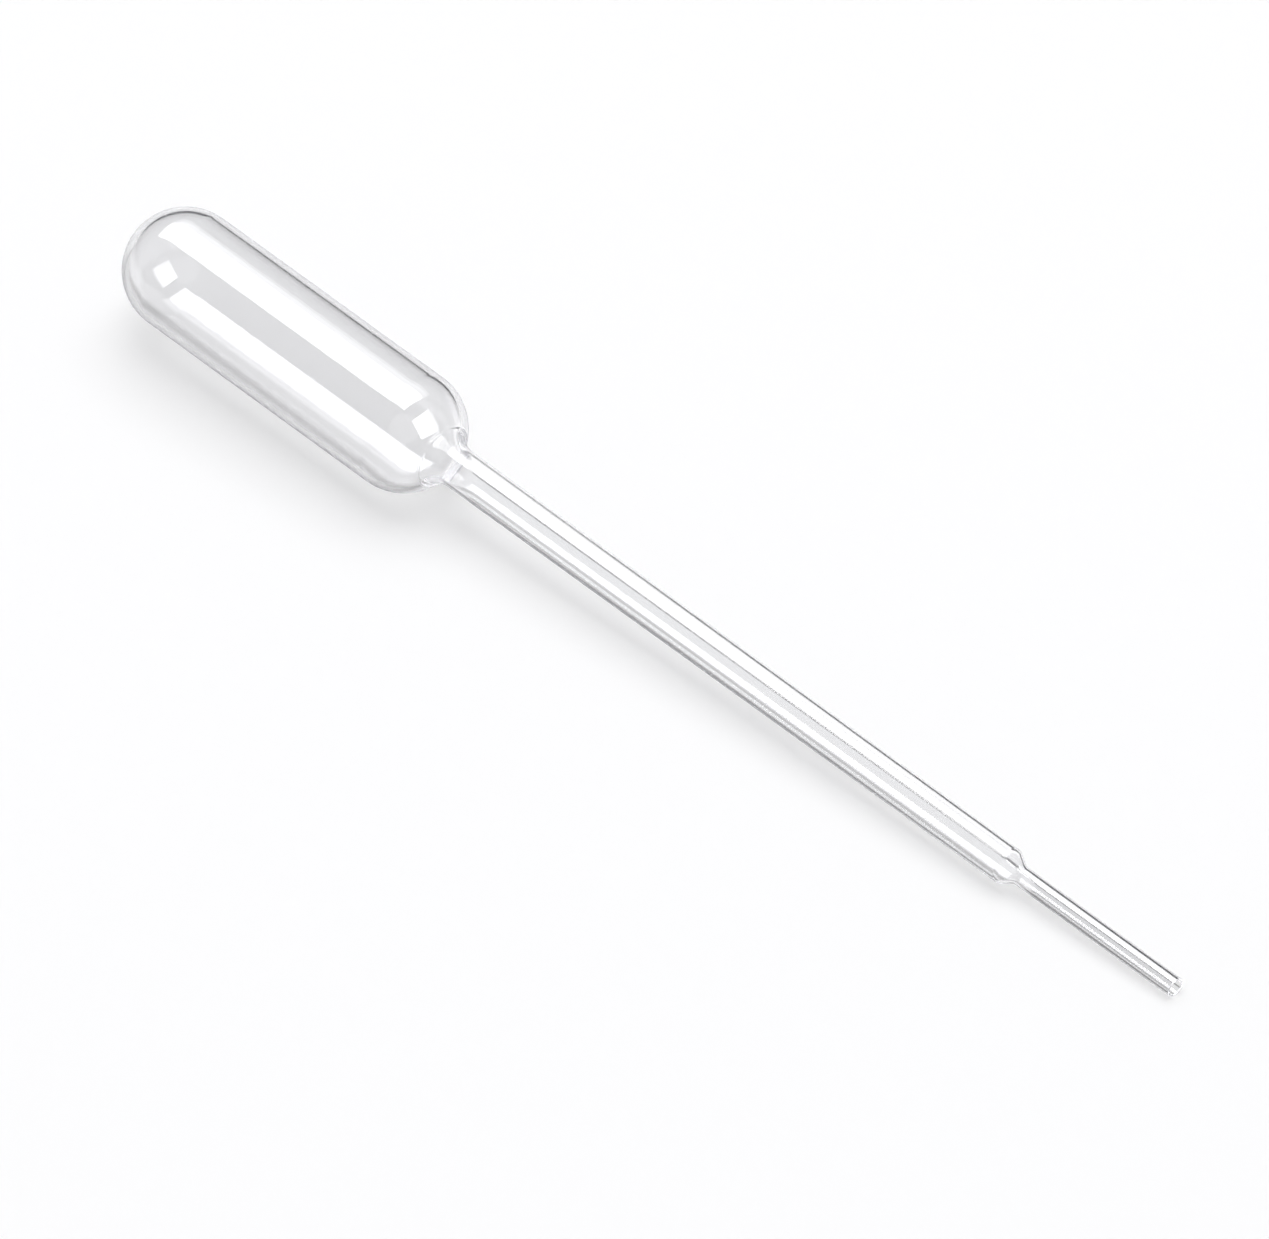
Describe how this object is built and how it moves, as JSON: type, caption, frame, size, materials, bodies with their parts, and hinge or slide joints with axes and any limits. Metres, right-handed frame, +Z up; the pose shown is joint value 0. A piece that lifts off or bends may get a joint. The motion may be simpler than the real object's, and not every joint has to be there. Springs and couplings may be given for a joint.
{
  "type": "dropper pipette",
  "caption": "Clear plastic dropper pipette: a domed squeeze bulb flares through a neck into a slim tapered stem, which steps down at a shoulder to a fine open tip.",
  "frame": {"origin": "on the surface that the pipette lies on, under the middle of its box", "axes": "+X towards the open tip, +Z up. The pipette rests on the near dome of its bulb and the rim of its tip, so its own axis dips 2.85 degrees below +X towards the tip"},
  "size_m": [0.1498, 0.0132, 0.0148],
  "materials": {
    "clear_polyethylene": "clear, smooth as blown, glossy"
  },
  "bodies": {
    "root": {"pipette_body": "clear_polyethylene"}
  },
  "joints": []
}
